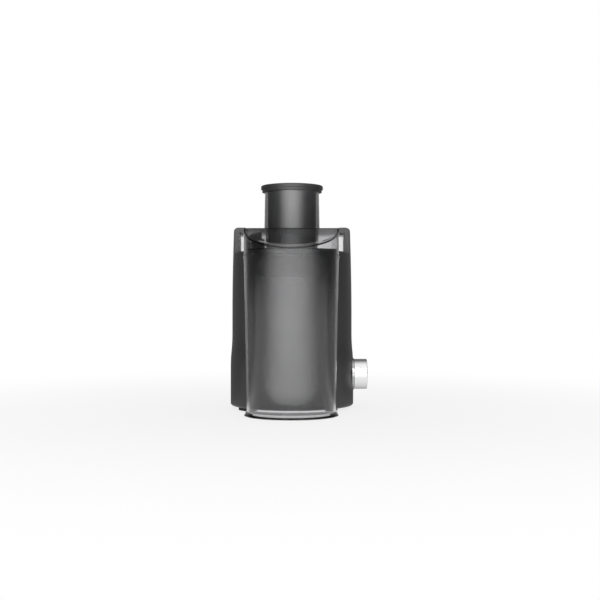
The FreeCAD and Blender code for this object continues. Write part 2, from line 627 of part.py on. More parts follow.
# ---------------------------------------------------------------- bowl, lid, bin and pusher
def spout_line():
    """Start and end of the spout's axis, and its direction."""
    start = V(BOWL_R - BOWL_WALL - SPOUT_R / 2, 0, SPOUT_Z)
    direction = V(1, 0, -SPOUT_DROP)
    end = start + direction * SPOUT_REACH
    return start, end


def juice_bowl():
    wall = tube(BOWL_R, BOWL_R - BOWL_WALL, DECK_TOP, BOWL_RIM)
    floor = cyl(BOWL_R, DECK_TOP, DECK_TOP + BOWL_FLOOR_T)
    chimney = cyl(CHIMNEY_R + CHIMNEY_WALL, DECK_TOP, CHIMNEY_TOP)
    flange = tube(BOWL_FLANGE_R, BOWL_R - OVER, HOUSING_TOP, BOWL_RIM)
    shelf = sector(BOWL_R, GUIDE_R - GUIDE_T, HOUSING_TOP, BOWL_RIM, GUIDE_START, GUIDE_END)
    guide = sector(GUIDE_R, GUIDE_R - GUIDE_T, HOUSING_TOP, GUIDE_HIGH + OVER, GUIDE_START, GUIDE_END)
    end_x = around(GUIDE_R, GUIDE_END)[0]
    rise = (GUIDE_HIGH - GUIDE_LOW) / end_x
    ramp = prism(
        [
            V(-BIG, 0, GUIDE_LOW - rise * BIG),
            V(0, 0, GUIDE_LOW),
            V(BIG, 0, GUIDE_LOW),
            V(BIG, 0, BIG * 2),
            V(-BIG, 0, BIG * 2),
        ],
        V(0, BIG, 0),
    )
    start, end = spout_line()
    bowl = fuse_all([wall, floor, chimney, flange, shelf, guide.cut(ramp)])
    notch = box(-POCKET_HALF, POCKET_HALF, POCKET_FLOOR_Y, BIG, HOUSING_TOP - OVER, BIG)
    return bowl.cut(
        [
            cyl(CHIMNEY_R, DECK_TOP - OVER, CHIMNEY_TOP + OVER),
            rod(SPOUT_R + HOLE_FIT, start, end),
            notch,
            mirrored_y(notch),
        ]
    )


def juice_spout():
    """A push-in tube with a collar that lies on the outside of the bowl."""
    start, end = spout_line()
    tail = rod(SPOUT_R, start, end).cut(box(SPOUT_REACH, BIG, -BIG, BIG, -BIG, BIG))
    tail = tail.cut(cyl(BOWL_R - BOWL_WALL, 0, BIG))
    collar = rod(SPOUT_COLLAR_R, start, end).common(tube(BOWL_R + SPOUT_COLLAR_T, BOWL_R, 0, BIG))
    return tail.fuse(collar).cut(rod(SPOUT_R - SPOUT_WALL, start, end)).removeSplitter()


def lid_seal():
    return tube(LID_R, LID_R - LID_WALL, BOWL_RIM, LID_BOTTOM)


def lid():
    root = -LID_R / 3
    top_edges = at_height(LID_TOP)
    drum = round_edges(cyl(LID_R, LID_BOTTOM, LID_TOP), LID_EDGE, top_edges)
    bay = bay_prism(BAY_HALF, BAY_OUT, BAY_BOTTOM, LID_TOP, root)
    bay = round_edges(bay, LID_EDGE, lambda edge: top_edges(edge) and edge.BoundBox.XMin < root - OVER)
    flange_clear = cyl(BIN_BACK_R, 0, LID_FLOOR_BOTTOM)
    bay = bay.cut([flange_clear, cyl(LID_R + SEAT_GAP, 0, LID_BOTTOM)])
    ear = [box(-POCKET_HALF, POCKET_HALF, 0, POCKET_FLOOR_Y, LEDGE_Z - EAR_T, LEDGE_Z)]
    for x in (-POCKET_HALF, POCKET_HALF - LID_WALL):
        ear.append(box(x, x + LID_WALL, 0, POCKET_FLOOR_Y, LID_BOTTOM, LEDGE_Z))
    shell = drum.fuse([bay] + ear + [mirrored_y(piece) for piece in ear])
    inner_half, inner_out = BAY_HALF - LID_WALL, BAY_OUT + LID_WALL
    ceiling = LID_TOP - LID_WALL
    roof_end = LIP_END_Z - ROOF_DROP
    recess = bay_prism(inner_half, inner_out, BAY_BOTTOM, BIG, root).common(above_slope(roof_end))
    hook_inner = HOOK_INNER_Y - SLIDE_GAP
    ledge = box(-POCKET_HALF, POCKET_HALF, hook_inner, BIG, LEDGE_Z, BIG)
    shell = shell.cut([above_slope(LIP_END_Z), recess, ledge, mirrored_y(ledge)])
    cavity = bay_prism(inner_half, inner_out, BAY_BOTTOM - OVER, ceiling, root)
    apron = cyl(BIN_BACK_R + LID_WALL, 0, LID_FLOOR_TOP)
    low_roof = above_slope(roof_end).copy()
    low_roof.translate(V(0, 0, -LID_WALL))
    cavity = cavity.cut([apron, low_roof]).fuse(cyl(LID_R - LID_WALL, LID_BOTTOM - OVER, ceiling))
    upper = Part.makeCone(CHUTE_FOOT_R, CHUTE_TOP_R, CHUTE_TOP - ceiling, V(0, 0, ceiling))
    rib = box(CHUTE_BORE_R + OVER, CHUTE_LOWER_R + CHUTE_RIB_OUT, -CHUTE_RIB_T / 2, CHUTE_RIB_T / 2,
              CHUTE_RIB_BOTTOM, ceiling + OVER)
    chute = upper.fuse([cyl(CHUTE_LOWER_R, CHUTE_BOTTOM, ceiling + OVER), turned(rib, CHUTE_RIB_DEG)])
    whole = shell.cut(cavity).fuse(chute)
    return whole.cut(cyl(CHUTE_BORE_R, CHUTE_BOTTOM - OVER, CHUTE_TOP + OVER)).removeSplitter()


def pulp_bin():
    root = -BIN_BACK_R / 2
    slope_half = (BAY_HALF - BIN_HALF_BOTTOM) / (BIN_TOP - BIN_BOTTOM)
    slope_out = (BAY_OUT - BIN_OUT_BOTTOM) / (BIN_TOP - BIN_BOTTOM)

    def at(z, outset=0.0):
        half = BIN_HALF_BOTTOM + slope_half * (z - BIN_BOTTOM) + outset
        return half, BIN_OUT_BOTTOM + slope_out * (z - BIN_BOTTOM) - outset, z

    body = bay_loft(at(BIN_BOTTOM), at(BIN_TOP), root)
    bead_z = BIN_TOP - BIN_BEAD_H
    bead = bay_loft(at(bead_z, BIN_BEAD), at(BIN_TOP, BIN_BEAD), root)
    flare = bay_loft(at(BIN_FLARE_Z, BIN_FLARE), at(BIN_FLARE_TOP), root)
    tuck = bay_loft(at(BIN_BOTTOM, BIN_FLARE - BIN_FLARE_TUCK), at(BIN_FLARE_Z, BIN_FLARE), root)
    body = body.fuse([bead, flare, tuck]).cut(cyl(BIN_BACK_R, -1, BIG)).removeSplitter()
    hollow = bay_loft(at(BIN_BOTTOM + BIN_FLOOR_T, -BIN_WALL), at(BIN_TOP + OVER, -BIN_WALL), root)
    hollow = hollow.cut(cyl(BIN_BACK_R + BIN_WALL, -1, BIG))
    x0 = -BIN_BACK_R - BIN_WALL * 2
    notch = prism(
        [
            V(x0, -NOTCH_BOTTOM_HALF, NOTCH_BOTTOM_Z),
            V(x0, NOTCH_BOTTOM_HALF, NOTCH_BOTTOM_Z),
            V(x0, NOTCH_TOP_HALF, NOTCH_SIDE_Z),
            V(x0, NOTCH_TOP_HALF, BIG),
            V(x0, -NOTCH_TOP_HALF, BIG),
            V(x0, -NOTCH_TOP_HALF, NOTCH_SIDE_Z),
        ],
        V(BIN_BACK_R, 0, 0),
    )
    return body.cut([hollow, notch])


def pusher_body():
    body = cyl(PUSHER_R, PUSHER_BOTTOM, CAP_BOTTOM)
    hollow = cyl(PUSHER_R - PUSHER_WALL, PUSHER_BOTTOM + PUSHER_WALL, CAP_BOTTOM + OVER)
    groove = tube(
        PUSHER_R + OVER, PUSHER_R - PUSHER_GROOVE_DEPTH, PUSHER_GROOVE_Z, PUSHER_GROOVE_Z + PUSHER_GROOVE_H
    )
    return body.cut([hollow, groove])


def pusher_cap():
    step = CAP_BOTTOM + CAP_LOWER_T
    top = step + CAP_UPPER_T
    upper = round_edges(cyl(CAP_R, step, top), CAP_EDGE, at_height(top))
    spigot = cyl(PUSHER_R - PUSHER_WALL - HOLE_FIT, CAP_BOTTOM - CAP_SPIGOT, CAP_BOTTOM + OVER)
    return fuse_all([cyl(CAP_LOWER_R, CAP_BOTTOM, step), upper, spigot])


# ---------------------------------------------------------------- motor
def motor_shaft():
    return cyl(SHAFT_R, SHAFT_BOTTOM, COUPLING_Z1)


def rotor_core():
    core = tube(ROTOR_R, SHAFT_R, STACK_Z0, STACK_Z1)
    slot = cyl(ROTOR_SLOT_R, STACK_Z0 - OVER, STACK_Z1 + OVER, ROTOR_SLOT_RING)
    return core.cut(round_array(slot, ROTOR_SLOTS))


def rotor_windings():
    outer = ROTOR_SLOT_RING + ROTOR_SLOT_R
    ends = [
        tube(outer, ROTOR_END_IN, STACK_Z0 - ROTOR_END_T, STACK_Z0),
        tube(outer, ROTOR_END_IN, STACK_Z1, STACK_Z1 + ROTOR_END_T),
    ]
    wire = cyl(ROTOR_WIRE_R, STACK_Z0 - OVER, STACK_Z1 + OVER, ROTOR_SLOT_RING)
    return fuse_all(ends + round_array(wire, ROTOR_SLOTS))


def commutator():
    ring = tube(COMMUTATOR_R, SHAFT_R, COMMUTATOR_Z0, COMMUTATOR_Z1)
    inner, half = COMMUTATOR_R - COMMUTATOR_SLIT_DEPTH, COMMUTATOR_SLIT_W / 2
    slit = box(inner, COMMUTATOR_R + OVER, -half, half, COMMUTATOR_Z0 - OVER, COMMUTATOR_Z1 + OVER)
    return ring.cut(round_array(slit, ROTOR_SLOTS * 2))


def cooling_fan():
    disc = cyl(FAN_R, FAN_Z, FAN_Z + FAN_DISC_T)
    hub = cyl(FAN_HUB_R, FAN_Z, FAN_Z + FAN_T)
    blade = box(FAN_HUB_R - OVER, FAN_R - FAN_BLADE_INSET, -FAN_DISC_T / 2, FAN_DISC_T / 2, FAN_Z, FAN_Z + FAN_T)
    fan = fuse_all([disc, hub] + round_array(blade, FAN_BLADES))
    return fan.cut(cyl(SHAFT_R, FAN_Z - OVER, FAN_Z + FAN_T + OVER))


def column_places():
    return [around(COLUMN_RING, 90.0 * n) for n in range(4)]


def stator_core():
    core = tube(STATOR_R, STATOR_BORE_R, STACK_Z0, STACK_Z1)
    removed = []
    for first, last in coil_bar_angles():
        window = sector(
            COIL_OUT + COIL_GAP,
            COIL_IN - COIL_GAP,
            STACK_Z0 - OVER,
            STACK_Z1 + OVER,
            first - COIL_GAP_DEG,
            last + COIL_GAP_DEG,
        )
        removed.append(window)
    removed += [cyl(BOLT_R + HOLE_FIT, STACK_Z0 - OVER, STACK_Z1 + OVER, x, y) for x, y in column_places()]
    return core.cut(removed)


def coil_bar_angles():
    """First and last angle of each coil's upright sides, two for each of the two poles."""
    outer, inner = COIL_HALF_ANGLE, COIL_HALF_ANGLE - COIL_BAR_ANGLE
    bars = []
    for pole in (0, 180):
        bars += [(pole - outer, pole - inner), (pole + inner, pole + outer)]
    return bars


def field_windings():
    low, high = STACK_Z0 - COIL_OVERHANG, STACK_Z1 + COIL_OVERHANG
    bars = [sector(COIL_OUT, COIL_IN, low, high, first, last) for first, last in coil_bar_angles()]
    coils = []
    for n, pole in enumerate((0, 180)):
        first, last = pole - COIL_HALF_ANGLE, pole + COIL_HALF_ANGLE
        ends = [
            sector(COIL_OUT, COIL_IN, low, low + COIL_END_T, first, last),
            sector(COIL_OUT, COIL_IN, high - COIL_END_T, high, first, last),
        ]
        coils.append(fuse_all(ends + bars[2 * n : 2 * n + 2]))
    return coils


def bracket(z, column_low, column_high, ears):
    """An end plate of the motor: bearing seat, four columns to the stator and, on the top one, four ears."""
    middle = z + BRACKET_T / 2
    solid = [cyl(BRACKET_R, z, z + BRACKET_T)]
    solid.append(cyl(BEARING_R + BEARING_RIM, middle - BEARING_T / 2, middle + BEARING_T / 2))
    solid += [cyl(COLUMN_R, column_low, column_high, x, y) for x, y in column_places()]
    if ears:
        arm = box(0, EAR_RING, -EAR_R, EAR_R, z, z + BRACKET_T)
        solid += [turned(arm, math.degrees(math.atan2(y, x))) for x, y in mount_places()]
        solid += [cyl(EAR_R, z, z + BRACKET_T, x, y) for x, y in mount_places()]
    plate = fuse_all(solid)
    removed = [cyl(BEARING_R, z - BEARING_T, z + BEARING_T * 2)]
    removed += [cyl(BOLT_R + HOLE_FIT, 0, BIG, x, y) for x, y in column_places()]
    vent = cyl(BRACKET_VENT_R, z - OVER, z + BRACKET_T + OVER, BRACKET_VENT_RING)
    removed += round_array(vent, 4, 0.0)
    if ears:
        removed += [cyl(BOLT_R + HOLE_FIT, 0, BIG, x, y) for x, y in mount_places()]
    return plate.cut(removed)


def lower_bracket():
    return bracket(LOWER_BRACKET_Z, LOWER_BRACKET_Z, STACK_Z0, False)


def upper_bracket():
    return bracket(UPPER_BRACKET_Z, STACK_Z1, UPPER_BRACKET_Z + OVER, True)


def motor_bearings():
    bearings = []
    for z in (LOWER_BRACKET_Z, UPPER_BRACKET_Z):
        middle = z + BRACKET_T / 2
        bearings.append(tube(BEARING_R, SHAFT_R + RUN_FIT, middle - BEARING_T / 2, middle + BEARING_T / 2))
    return bearings


def motor_bolts():
    return [
        cyl(BOLT_R, LOWER_BRACKET_Z, UPPER_BRACKET_TOP, x, y).fuse(
            cyl(BOLT_HEAD_R, LOWER_BRACKET_Z - BOLT_HEAD_T, LOWER_BRACKET_Z, x, y)
        )
        for x, y in column_places()
    ]


def motor_mounts():
    z0, z1 = UPPER_BRACKET_TOP, UPPER_BRACKET_TOP + MOUNT_T
    return [tube(MOUNT_R, BOLT_R + HOLE_FIT, z0, z1, x, y) for x, y in mount_places()]


def mount_screws():
    top = UPPER_BRACKET_TOP + MOUNT_T + MOUNT_SCREW_REACH
    return [
        cyl(BOLT_R, UPPER_BRACKET_Z, top, x, y).fuse(
            cyl(BOLT_HEAD_R, UPPER_BRACKET_Z - BOLT_HEAD_T, UPPER_BRACKET_Z, x, y)
        )
        for x, y in mount_places()
    ]


def brush_holders():
    half_w, half_h = BRUSH_W / 2 + HOLDER_WALL, HOLDER_WALL
    x0, x1 = HOLDER_INNER_X, HOLDER_INNER_X + HOLDER_LENGTH
    body = box(x0, x1, -half_w, half_w, BRUSH_Z - half_h, UPPER_BRACKET_Z)
    channel = box(
        x0 - OVER,
        x1 - HOLDER_WALL,
        -BRUSH_W / 2 - HOLE_FIT,
        BRUSH_W / 2 + HOLE_FIT,
        BRUSH_Z - HOLE_FIT,
        BRUSH_Z + BRUSH_H + HOLE_FIT,
    )
    return round_array(body.cut(channel), 2, BRUSH_DEG)


def carbon_brushes():
    x0 = COMMUTATOR_R + BRUSH_GAP
    x1 = min(x0 + BRUSH_LENGTH, HOLDER_INNER_X + HOLDER_LENGTH - HOLDER_WALL)
    brush = box(x0, x1, -BRUSH_W / 2, BRUSH_W / 2, BRUSH_Z, BRUSH_Z + BRUSH_H)
    return round_array(brush, 2, BRUSH_DEG)


def shaft_seal():
    return tube(SHAFT_SEAL_R, SHAFT_R + SHAFT_SEAL_GAP, DECK_Z, DECK_TOP)


# ---------------------------------------------------------------- spinning filter
def drive_coupling():
    body = tube(COUPLING_R, SHAFT_R, COUPLING_Z0, COUPLING_Z1)
    tooth = cyl(COUPLING_TOOTH_R, COUPLING_Z0 - OVER, COUPLING_Z1 + OVER, COUPLING_R)
    return body.cut(round_array(tooth, COUPLING_TEETH))


def basket_hub():
    disc = cyl(HUB_R, COUPLING_Z1, COUPLING_Z1 + HUB_T)
    skirt = tube(HUB_SKIRT_IN + HUB_SKIRT_WALL, HUB_SKIRT_IN, HUB_SKIRT_BOTTOM, COUPLING_Z1 + OVER)
    return disc.fuse(skirt).removeSplitter()


def grating_disc():
    z0 = COUPLING_Z1 + HUB_T
    disc = cyl(GRATER_R, z0, z0 + GRATER_T)
    teeth = []
    for row in range(TOOTH_ROWS):
        for n in range(TOOTH_COUNT):
            radius = TOOTH_FIRST + TOOTH_PITCH * (n + (row % 2) / 2)
            if radius + TOOTH_LENGTH / 2 > GRATER_R:
                continue
            tooth = prism(
                [
                    V(radius, -TOOTH_LENGTH / 2, z0),
                    V(radius, TOOTH_LENGTH / 2, z0),
                    V(radius, 0, z0 + GRATER_T + TOOTH_H),
                ],
                V(TOOTH_T, 0, 0),
            )
            teeth.append(turned(tooth, 360.0 * row / TOOTH_ROWS))
    return fuse_all([disc] + teeth)


def filter_basket():
    z0 = COUPLING_Z1 + HUB_T
    height = BASKET_TOP - z0
    outer = Part.makeCone(BASKET_BOTTOM_R, BASKET_TOP_R, height, V(0, 0, z0))
    inner = Part.makeCone(BASKET_BOTTOM_R - BASKET_T, BASKET_TOP_R - BASKET_T, height, V(0, 0, z0))
    return outer.cut(inner)


def basket_rim():
    return tube(RIM_OUT, RIM_IN, BASKET_TOP, BASKET_TOP + RIM_T)


# ---------------------------------------------------------------- every node and its pieces
NODES = {
    "motor_housing": motor_housing,
    "base_plate": base_plate,
    "base_screws": base_screws,
    "rubber_feet": rubber_feet,
    "cord_gland": cord_gland,
    "power_board": power_board,
    "knob_bezel": knob_bezel,
    "rotary_switch": rotary_switch,
    "control_knob": control_knob,
    "knob_shaft": knob_shaft,
    "knob_pointer": knob_pointer,
    "clip_pins": clip_pins,
    "locking_clip_back": locking_clip,
    "locking_clip_front": lambda: mirrored_y(locking_clip()),
    "interlock_plunger": interlock_plunger,
    "interlock_switch": interlock_switch,
    "juice_bowl": juice_bowl,
    "juice_spout": juice_spout,
    "lid_seal": lid_seal,
    "lid": lid,
    "pulp_bin": pulp_bin,
    "pusher_body": pusher_body,
    "pusher_cap": pusher_cap,
    "motor_shaft": motor_shaft,
    "rotor_core": rotor_core,
    "rotor_windings": rotor_windings,
    "commutator": commutator,
    "cooling_fan": cooling_fan,
    "stator_core": stator_core,
    "field_windings": field_windings,
    "lower_bracket": lower_bracket,
    "upper_bracket": upper_bracket,
    "motor_bearings": motor_bearings,
    "motor_bolts": motor_bolts,
    "motor_mounts": motor_mounts,
    "mount_screws": mount_screws,
    "brush_holders": brush_holders,
    "carbon_brushes": carbon_brushes,
    "shaft_seal": shaft_seal,
    "drive_coupling": drive_coupling,
    "basket_hub": basket_hub,
    "grating_disc": grating_disc,
    "filter_basket": filter_basket,
    "basket_rim": basket_rim,
}

os.makedirs("parts", exist_ok=True)
for name, make in NODES.items():
    made = make()
    pieces = made if isinstance(made, list) else [made]
    solids = [solid for piece in pieces for solid in piece.Solids]
    shape = solids[0] if len(solids) == 1 else Part.makeCompound(solids)
    shape = shape.translated(ORIGIN * -1)
    shape.exportStep("parts/%s.step" % name)
    print(name, "solids", len(solids), "valid", shape.isValid(), "volume", round(shape.Volume))
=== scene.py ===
# %% [markdown]
# # A centrifugal juicer
# This lesson dresses a finished set of solid parts: a dark motor housing, a smoky lid and pulp bin, a
# pusher, two side clips and a metal knob. The solids give every shape and place. What is left to make
# here is the camera, the light, the finishes, and the small repeated details that follow a rule.

# %% Load the fixed frame
import bmesh, bpy, json, math
from mathutils import Matrix, Vector


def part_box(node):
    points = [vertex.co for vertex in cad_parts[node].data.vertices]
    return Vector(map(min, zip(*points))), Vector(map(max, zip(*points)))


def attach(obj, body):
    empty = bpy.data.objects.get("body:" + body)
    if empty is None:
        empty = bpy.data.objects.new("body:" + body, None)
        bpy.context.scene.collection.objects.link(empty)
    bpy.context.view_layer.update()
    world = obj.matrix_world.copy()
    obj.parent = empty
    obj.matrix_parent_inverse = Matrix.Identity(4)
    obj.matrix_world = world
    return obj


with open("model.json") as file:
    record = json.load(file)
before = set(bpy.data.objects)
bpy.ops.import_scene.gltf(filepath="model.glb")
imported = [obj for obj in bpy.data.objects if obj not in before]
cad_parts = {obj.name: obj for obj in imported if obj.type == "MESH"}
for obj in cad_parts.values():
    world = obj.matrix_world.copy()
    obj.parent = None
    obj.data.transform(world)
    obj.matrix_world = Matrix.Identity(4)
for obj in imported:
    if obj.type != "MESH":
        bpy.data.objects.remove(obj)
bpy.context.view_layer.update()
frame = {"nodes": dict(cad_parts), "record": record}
nodes = frame["nodes"]
shaft_low, shaft_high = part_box("motor_shaft")
AXIS = Vector(((shaft_low.x + shaft_high.x) / 2, (shaft_low.y + shaft_high.y) / 2, 0))

# %% [markdown]
# ## Camera
# The view is from the pulp bin's side, with the lens at about the height of the machine's middle. A
# level camera keeps the verticals upright, so no shift is needed. A long lens at a metre and a half
# keeps near and far parts close to the same scale.

# %% Place the camera
VIEW_DISTANCE = 1.5  # from the motor's axis
VIEW_ASIDE = 0.0123  # off that axis, towards the knob
VIEW_HEIGHT = 0.1643

camera_data = bpy.data.cameras.new("side_camera")
camera_data.lens = 58.56
camera_data.sensor_width = 36.0
camera = bpy.data.objects.new("side_camera", camera_data)
camera.location = (AXIS.x - VIEW_DISTANCE, AXIS.y - VIEW_ASIDE, VIEW_HEIGHT)
camera.rotation_euler = (math.radians(90), 0, math.radians(-90))
bpy.context.scene.collection.objects.link(camera)
bpy.context.scene.camera = camera
bpy.context.scene.view_settings.view_transform = "Standard"
print("camera", [round(v, 3) for v in camera.location])

# %% [markdown]
# ## Nodes in a few words
# A finish is a small tree of nodes. These helpers add a node, set its plain values, start a group and
# do a sum, so that each finish below reads as a short list. Values that are the same all over the
# surface go on the shader's own sockets, and only what varies over the surface is linked to it.

# %% Helpers for node trees
MIDDLE = 0.5  # the value that a noise swings about, and the middle of a width


def add(tree, kind, **settings):
    node = tree.nodes.new(kind)
    for name, value in settings.items():
        setattr(node, name, value)
    return node


def fill(node, **values):
    for name, value in values.items():
        node.inputs[name.replace("_", " ")].default_value = value
    return node


def new_group(name, inputs, outputs):
    """An empty shader group with typed inputs (name, value) and outputs (name, socket kind)."""
    group = bpy.data.node_groups.new(name, "ShaderNodeTree")
    for label, value in inputs:
        socket = group.interface.new_socket(label, in_out="INPUT", socket_type="NodeSocketFloat")
        socket.default_value = value
    for label, kind in outputs:
        group.interface.new_socket(label, in_out="OUTPUT", socket_type=kind)
    return group, group.nodes.new("NodeGroupInput"), group.nodes.new("NodeGroupOutput")


def math_node(tree, operation, a, b=0.0):
    """A Math node whose one or two inputs are sockets or plain numbers."""
    node = add(tree, "ShaderNodeMath", operation=operation)
    for index, value in enumerate((a, b)):
        if isinstance(value, (int, float)):
            node.inputs[index].default_value = value
        else:
            tree.links.new(value, node.inputs[index])
    return node.outputs[0]


print("helpers ready")

# %% [markdown]
# ## Moulded grain
# Injection-moulded plastic copies the fine spark-eroded skin of its steel mould. Two sizes of noise on
# Object coordinates give that skin: a fine one for the grain that can be felt, and a slow one for the
# faint change of sheen and tone across a large wall. The group gives a height for a Bump node, a
# roughness, and a tone for the material to multiply its colour by.

# %% Build the moulded grain group
TONE_SHARE = 2.0  # how much further the tone drifts than the roughness does

grain, grain_in, grain_out = new_group(
    "moulded_grain",
    [("Grain Scale", 1500.0), ("Roughness", 0.45), ("Variation", 0.06)],
    [("Height", "NodeSocketFloat"), ("Roughness", "NodeSocketFloat"), ("Tone", "NodeSocketFloat")],
)
place = add(grain, "ShaderNodeTexCoord")
fine = fill(add(grain, "ShaderNodeTexNoise"), Detail=2.0)
slow = fill(add(grain, "ShaderNodeTexNoise"), Scale=14.0, Detail=3.0)
grain.links.new(place.outputs["Object"], fine.inputs["Vector"])
grain.links.new(place.outputs["Object"], slow.inputs["Vector"])
grain.links.new(grain_in.outputs["Grain Scale"], fine.inputs["Scale"])
drift = math_node(grain, "SUBTRACT", slow.outputs["Fac"], MIDDLE)
drift = math_node(grain, "MULTIPLY", drift, grain_in.outputs["Variation"])
sheen = math_node(grain, "ADD", grain_in.outputs["Roughness"], drift)
tone = math_node(grain, "MULTIPLY", drift, TONE_SHARE)
tone = math_node(grain, "ADD", tone, 1.0)
grain.links.new(fine.outputs["Fac"], grain_out.inputs["Height"])
grain.links.new(sheen, grain_out.inputs["Roughness"])
grain.links.new(tone, grain_out.inputs["Tone"])
print("moulded grain ready")

# %% [markdown]
# ## Soft edges
# Every moulded edge has a small radius that catches a line of light. The Bevel node rounds the normals
# near an edge without touching the mesh, which suits parts whose shape is already final.

# %% Build the soft edge group
soft, soft_in, soft_out = new_group("soft_edges", [("Radius", 0.0005)], [("Normal", "NodeSocketVector")])
bevel = add(soft, "ShaderNodeBevel", samples=4)
soft.links.new(soft_in.outputs["Radius"], bevel.inputs["Radius"])
soft.links.new(bevel.outputs["Normal"], soft_out.inputs["Normal"])
print("soft edges ready")

# %% [markdown]
# ## Turned metal
# A lathe leaves rings round its axis. The knob turns about an axis along Y, so the rings are noise that
# reads only the distance from that axis plus the place along it.

# %% Build the turned metal group
RING_SWING = 0.12  # how far the roughness swings from ring to ring

turned, turned_in, turned_out = new_group(
    "turned_metal",
    [("Centre X", 0.0), ("Centre Z", 0.0), ("Line Scale", 2500.0), ("Roughness", 0.2)],
    [("Height", "NodeSocketFloat"), ("Roughness", "NodeSocketFloat")],
)
spot = add(turned, "ShaderNodeTexCoord")
split = add(turned, "ShaderNodeSeparateXYZ")
turned.links.new(spot.outputs["Object"], split.inputs[0])
side = math_node(turned, "SUBTRACT", split.outputs["X"], turned_in.outputs["Centre X"])
rise = math_node(turned, "SUBTRACT", split.outputs["Z"], turned_in.outputs["Centre Z"])
side_squared = math_node(turned, "MULTIPLY", side, side)
rise_squared = math_node(turned, "MULTIPLY", rise, rise)
radius = math_node(turned, "SQRT", math_node(turned, "ADD", side_squared, rise_squared))
ring_at = math_node(turned, "ADD", radius, split.outputs["Y"])
rings = add(turned, "ShaderNodeTexNoise", noise_dimensions="1D")
turned.links.new(ring_at, rings.inputs["W"])
turned.links.new(turned_in.outputs["Line Scale"], rings.inputs["Scale"])
swing = math_node(turned, "SUBTRACT", rings.outputs["Fac"], MIDDLE)
swing = math_node(turned, "MULTIPLY", swing, RING_SWING)
polish = math_node(turned, "ADD", turned_in.outputs["Roughness"], swing)
turned.links.new(rings.outputs["Fac"], turned_out.inputs["Height"])
turned.links.new(polish, turned_out.inputs["Roughness"])
print("turned metal ready")

# %% [markdown]
# ## Plastics
# One recipe serves all the opaque plastics: a dark colour, a roughness that drifts a little, a fine
# grain and softened edges. Each plastic only sets its own values, so the pusher can be smoother than
# the housing while both still look moulded.

# %% Write the recipe for plastics
PLASTIC_EDGE = 0.0005


def shader_of(name):
    material = bpy.data.materials.new(name)
    material.use_nodes = True
    return material, material.node_tree, material.node_tree.nodes["Principled BSDF"]


def bump_from(tree, shader, height, strength, distance, edge):
    """Grain on top of softened edges, fed to the shader's Normal."""
    edges = fill(add(tree, "ShaderNodeGroup", node_tree=soft), Radius=edge)
    bump = fill(add(tree, "ShaderNodeBump"), Strength=strength, Distance=distance)
    tree.links.new(height, bump.inputs["Height"])
    tree.links.new(edges.outputs["Normal"], bump.inputs["Normal"])
    tree.links.new(bump.outputs["Normal"], shader.inputs["Normal"])


def tinted(tree, shader, skin, colour):
    """The colour times the skin's tone, and the skin's roughness, fed to the shader."""
    tint = add(tree, "ShaderNodeVectorMath", operation="SCALE")
    tint.inputs[0].default_value = colour
    tree.links.new(skin.outputs["Tone"], tint.inputs["Scale"])
    tree.links.new(tint.outputs[0], shader.inputs["Base Color"])
    tree.links.new(skin.outputs["Roughness"], shader.inputs["Roughness"])


def moulded(name, colour, roughness, depth=0.00002, strength=0.25, shine=0.5):
    material, tree, shader = shader_of(name)
    fill(shader, Specular_IOR_Level=shine)
    skin = fill(add(tree, "ShaderNodeGroup", node_tree=grain), Roughness=roughness)
    tinted(tree, shader, skin, colour)
    bump_from(tree, shader, skin.outputs["Height"], strength, depth, PLASTIC_EDGE)
    return material


print("recipe ready")

# %% Make the plastics
finishes = {
    "housing_plastic": moulded("housing_plastic", (0.019, 0.019, 0.02), 0.42, strength=0.15, shine=0.8),
    "base_plastic": moulded("base_plastic", (0.02, 0.02, 0.021), 0.55),
    "foot_rubber": moulded("foot_rubber", (0.012, 0.012, 0.012), 0.75, depth=0.00004),
    "gland_rubber": moulded("gland_rubber", (0.015, 0.015, 0.015), 0.7),
    "switch_plastic": moulded("switch_plastic", (0.03, 0.03, 0.03), 0.4),
    "clip_plastic": moulded("clip_plastic", (0.028, 0.028, 0.029), 0.4),
    "bowl_plastic": moulded("bowl_plastic", (0.05, 0.05, 0.051), 0.35, strength=0.1),
    "seal_rubber": moulded("seal_rubber", (0.02, 0.02, 0.02), 0.7),
    "pusher_plastic": moulded("pusher_plastic", (0.13, 0.13, 0.132), 0.2, strength=0.1, shine=0.85),
    "cap_plastic": moulded("cap_plastic", (0.022, 0.022, 0.023), 0.4),
    "fan_plastic": moulded("fan_plastic", (0.06, 0.06, 0.06), 0.5),
    "hub_plastic": moulded("hub_plastic", (0.03, 0.03, 0.03), 0.35),
    "board_green": moulded("board_green", (0.02, 0.12, 0.04), 0.35),
    "carbon": moulded("carbon", (0.015, 0.015, 0.015), 0.6),
    "pointer_paint": moulded("pointer_paint", (0.02, 0.02, 0.02), 0.35),
}
dial_print = moulded("dial_print", (0.42, 0.42, 0.43), 0.5, depth=0.00001)
# painted shade: the near-black of the plugs that stand for the basket's holes
hole_shade = moulded("hole_shade", (0.006, 0.006, 0.006), 0.6, depth=0.00001)
print("plastics", len(finishes))

# %% [markdown]
# ## Smoky clear plastic
# The lid and the bin are tinted polycarbonate. Light that goes through a wall loses a little at each
# crossing, and at a glancing angle the wall turns bright like a mirror. A transmissive shader on the
# real wall thickness gives both, and the smoke is absorption inside the wall, so a thick place is
# darker than a thin one. A faint drift in its roughness keeps it from looking like cut glass.

# %% Make the clear plastics
CLEAR_IOR = 1.4
CLEAR_TINT = (0.97, 0.97, 0.98)
SMOKE = (0.5, 0.5, 0.5, 1.0)


